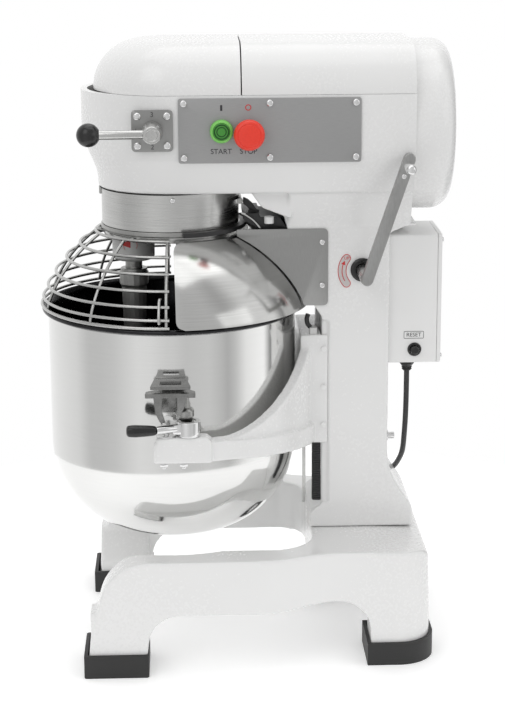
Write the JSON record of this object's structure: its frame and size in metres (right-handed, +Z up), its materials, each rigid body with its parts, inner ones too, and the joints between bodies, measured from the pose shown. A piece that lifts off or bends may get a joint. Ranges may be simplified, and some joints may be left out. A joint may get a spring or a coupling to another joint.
{
  "type": "commercial stand mixer",
  "caption": "Floor or bench planetary mixer with a lifting bowl, a turning wire guard with a rear dome, a speed lever and start and stop buttons.",
  "frame": {"origin": "on the floor, under the middle of the machine outline", "axes": "+Z up, front towards -Y, controls on the +X side"},
  "size_m": [0.4228, 0.5206, 0.777],
  "materials": {
    "base_casting": "gloss white enamel on cast iron",
    "foot_front_right": "matt black rubber",
    "foot_front_left": "matt black rubber",
    "foot_rear_right": "matt black rubber",
    "foot_rear_left": "matt black rubber",
    "frame_casting": "gloss white enamel on cast iron",
    "front_top_cover": "gloss white enamel",
    "rear_top_cover": "gloss white enamel",
    "rear_end_cap": "gloss white enamel",
    "control_panel": "fine brushed grey",
    "start_bezel": "light green",
    "start_button": "green",
    "stop_collar": "black plastic",
    "stop_button": "red",
    "shift_plate": "brushed stainless",
    "selector_lever": "brushed stainless",
    "selector_knob": "black plastic",
    "shift_fork": "machined casting",
    "motor_housing": "machined casting",
    "motor_rotor": "ground steel",
    "cooling_fan": "black",
    "driven_gear_1": "ground steel",
    "driven_gear_2": "ground steel",
    "driven_gear_3": "ground steel",
    "dog_sleeve": "ground steel",
    "gearbox_wall": "machined casting",
    "main_shaft": "ground steel",
    "bevel_pinion_shaft": "ground steel",
    "hub_ring": "brushed stainless",
    "ring_gear": "ground steel",
    "main_bearing": "ground steel",
    "planet_carrier": "silver painted casting",
    "agitator_shaft": "brushed stainless",
    "beater": "cast aluminium",
    "guard_track": "black coated steel",
    "rear_shield": "mirror polished stainless",
    "side_plate_right": "brushed stainless",
    "side_plate_left": "brushed stainless",
    "wire_guard": "polished wire",
    "cradle": "gloss white enamel on cast iron",
    "slide_rail": "black coated steel",
    "bowl": "mirror polished stainless",
    "bowl_bracket_right": "brushed stainless",
    "bowl_bracket_left": "brushed stainless",
    "clamp_lever_right": "brushed stainless",
    "clamp_lever_left": "brushed stainless",
    "clamp_grip_right": "black plastic",
    "clamp_grip_left": "black plastic",
    "lift_shaft": "brushed stainless",
    "lift_seal": "matt black rubber",
    "lift_handle": "brushed stainless",
    "lift_knob": "polished",
    "control_box": "gloss white enamel",
    "control_box_lid": "gloss white enamel",
    "reset_button": "matt black rubber",
    "cable_gland": "black",
    "mains_lead": "dark grey rubber sheath",
    "lead_coil": "dark grey rubber sheath",
    "mains_plug": "black"
  },
  "bodies": {
    "frame": {"base_casting": "base_casting", "foot_front_right": "foot_front_right", "foot_front_left": "foot_front_left", "foot_rear_right": "foot_rear_right", "foot_rear_left": "foot_rear_left", "frame_casting": "frame_casting", "front_top_cover": "front_top_cover", "rear_top_cover": "rear_top_cover", "rear_end_cap": "rear_end_cap", "control_panel": "control_panel", "start_bezel": "start_bezel", "stop_collar": "stop_collar", "shift_plate": "shift_plate", "motor_housing": "motor_housing", "gearbox_wall": "gearbox_wall", "hub_ring": "hub_ring", "ring_gear": "ring_gear", "main_bearing": "main_bearing", "guard_track": "guard_track", "rear_shield": "rear_shield", "side_plate_right": "side_plate_right", "side_plate_left": "side_plate_left", "slide_rail": "slide_rail", "lift_seal": "lift_seal", "control_box": "control_box", "control_box_lid": "control_box_lid", "cable_gland": "cable_gland", "mains_lead": "mains_lead", "lead_coil": "lead_coil", "mains_plug": "mains_plug"},
    "start_button": {"start_button": "start_button"},
    "stop_button": {"stop_button": "stop_button"},
    "reset_button": {"reset_button": "reset_button"},
    "selector": {"selector_lever": "selector_lever", "selector_knob": "selector_knob"},
    "fork": {"shift_fork": "shift_fork"},
    "sleeve": {"dog_sleeve": "dog_sleeve"},
    "lift": {"lift_shaft": "lift_shaft", "lift_handle": "lift_handle", "lift_knob": "lift_knob"},
    "cradle": {"cradle": "cradle", "bowl": "bowl", "bowl_bracket_right": "bowl_bracket_right", "bowl_bracket_left": "bowl_bracket_left"},
    "clamp_right": {"clamp_lever_right": "clamp_lever_right", "clamp_grip_right": "clamp_grip_right"},
    "clamp_left": {"clamp_lever_left": "clamp_lever_left", "clamp_grip_left": "clamp_grip_left"},
    "guard": {"wire_guard": "wire_guard"},
    "rotor": {"motor_rotor": "motor_rotor", "cooling_fan": "cooling_fan"},
    "gear_1": {"driven_gear_1": "driven_gear_1"},
    "gear_2": {"driven_gear_2": "driven_gear_2"},
    "gear_3": {"driven_gear_3": "driven_gear_3"},
    "pinion": {"bevel_pinion_shaft": "bevel_pinion_shaft"},
    "planetary": {"main_shaft": "main_shaft", "planet_carrier": "planet_carrier"},
    "agitator": {"agitator_shaft": "agitator_shaft", "beater": "beater"}
  },
  "joints": [
    {"name": "start_button_press", "type": "slide", "parent": "frame", "child": "start_button", "axis": [-1, 0, 0], "range_m": [0, 0.004], "stiffness_N_per_m": 700, "springref_m": -0.00286},
    {"name": "stop_button_press", "type": "slide", "parent": "frame", "child": "stop_button", "axis": [-1, 0, 0], "range_m": [0, 0.005], "stiffness_N_per_m": 900, "springref_m": -0.00222},
    {"name": "reset_button_press", "type": "slide", "parent": "frame", "child": "reset_button", "axis": [-1, 0, 0], "range_m": [0, 0.0025], "stiffness_N_per_m": 900, "springref_m": -0.00222},
    {"name": "selector_turn", "type": "hinge", "parent": "frame", "child": "selector", "pos_m": [0.11, -0.11105, 0.676], "axis": [1, 0, 0], "range_deg": [-90, 90]},
    {"name": "fork_slide", "type": "slide", "parent": "frame", "child": "fork", "axis": [0, 1, 0], "range_m": [-0.0039, 0.0039]},
    {"name": "sleeve_spin", "type": "hinge", "parent": "fork", "child": "sleeve", "pos_m": [0, -0.00825, 0.655], "axis": [0, 1, 0], "continuous": true},
    {"name": "bowl_lift", "type": "slide", "parent": "frame", "child": "cradle", "axis": [0, 0, 1], "range_m": [-0.06501, 0]},
    {"name": "lift_turn", "type": "hinge", "parent": "frame", "child": "lift", "pos_m": [0, 0.14865, 0.492], "axis": [1, 0, 0], "range_deg": [0, 96.75]},
    {"name": "clamp_right_turn", "type": "hinge", "parent": "cradle", "child": "clamp_right", "pos_m": [0.184, -0.07225, 0.3113], "axis": [0, 0, 1], "range_deg": [0, 90]},
    {"name": "clamp_left_turn", "type": "hinge", "parent": "cradle", "child": "clamp_left", "pos_m": [-0.184, -0.07225, 0.3113], "axis": [0, 0, -1], "range_deg": [0, 90]},
    {"name": "guard_turn", "type": "hinge", "parent": "frame", "child": "guard", "pos_m": [0, -0.09175, 0.54], "axis": [0, 0, 1], "range_deg": [0, 150]},
    {"name": "planetary_spin", "type": "hinge", "parent": "frame", "child": "planetary", "pos_m": [0, -0.09175, 0.594], "axis": [0, 0, 1], "continuous": true},
    {"name": "agitator_spin", "type": "hinge", "parent": "planetary", "child": "agitator", "pos_m": [0, -0.13975, 0.5], "axis": [0, 0, 1], "continuous": true},
    {"name": "pinion_spin", "type": "hinge", "parent": "frame", "child": "pinion", "pos_m": [0, -0.04675, 0.655], "axis": [0, 1, 0], "continuous": true},
    {"name": "gear_1_spin", "type": "hinge", "parent": "frame", "child": "gear_1", "pos_m": [0, -0.02125, 0.655], "axis": [0, 1, 0], "continuous": true},
    {"name": "gear_2_spin", "type": "hinge", "parent": "frame", "child": "gear_2", "pos_m": [0, 0.00475, 0.655], "axis": [0, 1, 0], "continuous": true},
    {"name": "gear_3_spin", "type": "hinge", "parent": "frame", "child": "gear_3", "pos_m": [0, 0.03075, 0.655], "axis": [0, 1, 0], "continuous": true},
    {"name": "rotor_spin", "type": "hinge", "parent": "frame", "child": "rotor", "pos_m": [0, 0.07625, 0.7], "axis": [0, 1, 0], "continuous": true}
  ],
  "couplings": [
    {"joint": "fork_slide", "follows": "selector_turn", "m_per_rad": 0.0024192},
    {"joint": "lift_turn", "follows": "bowl_lift", "rad_per_m": -25.962},
    {"joint": "agitator_spin", "follows": "planetary_spin", "ratio": -4.3333},
    {"joint": "pinion_spin", "follows": "planetary_spin", "ratio": 2.5},
    {"joint": "sleeve_spin", "follows": "planetary_spin", "ratio": 2.5},
    {"joint": "gear_1_spin", "follows": "planetary_spin", "ratio": 2.5},
    {"joint": "rotor_spin", "follows": "planetary_spin", "ratio": -6.875},
    {"joint": "gear_2_spin", "follows": "planetary_spin", "ratio": 3.9803},
    {"joint": "gear_3_spin", "follows": "planetary_spin", "ratio": 6.0156}
  ]
}
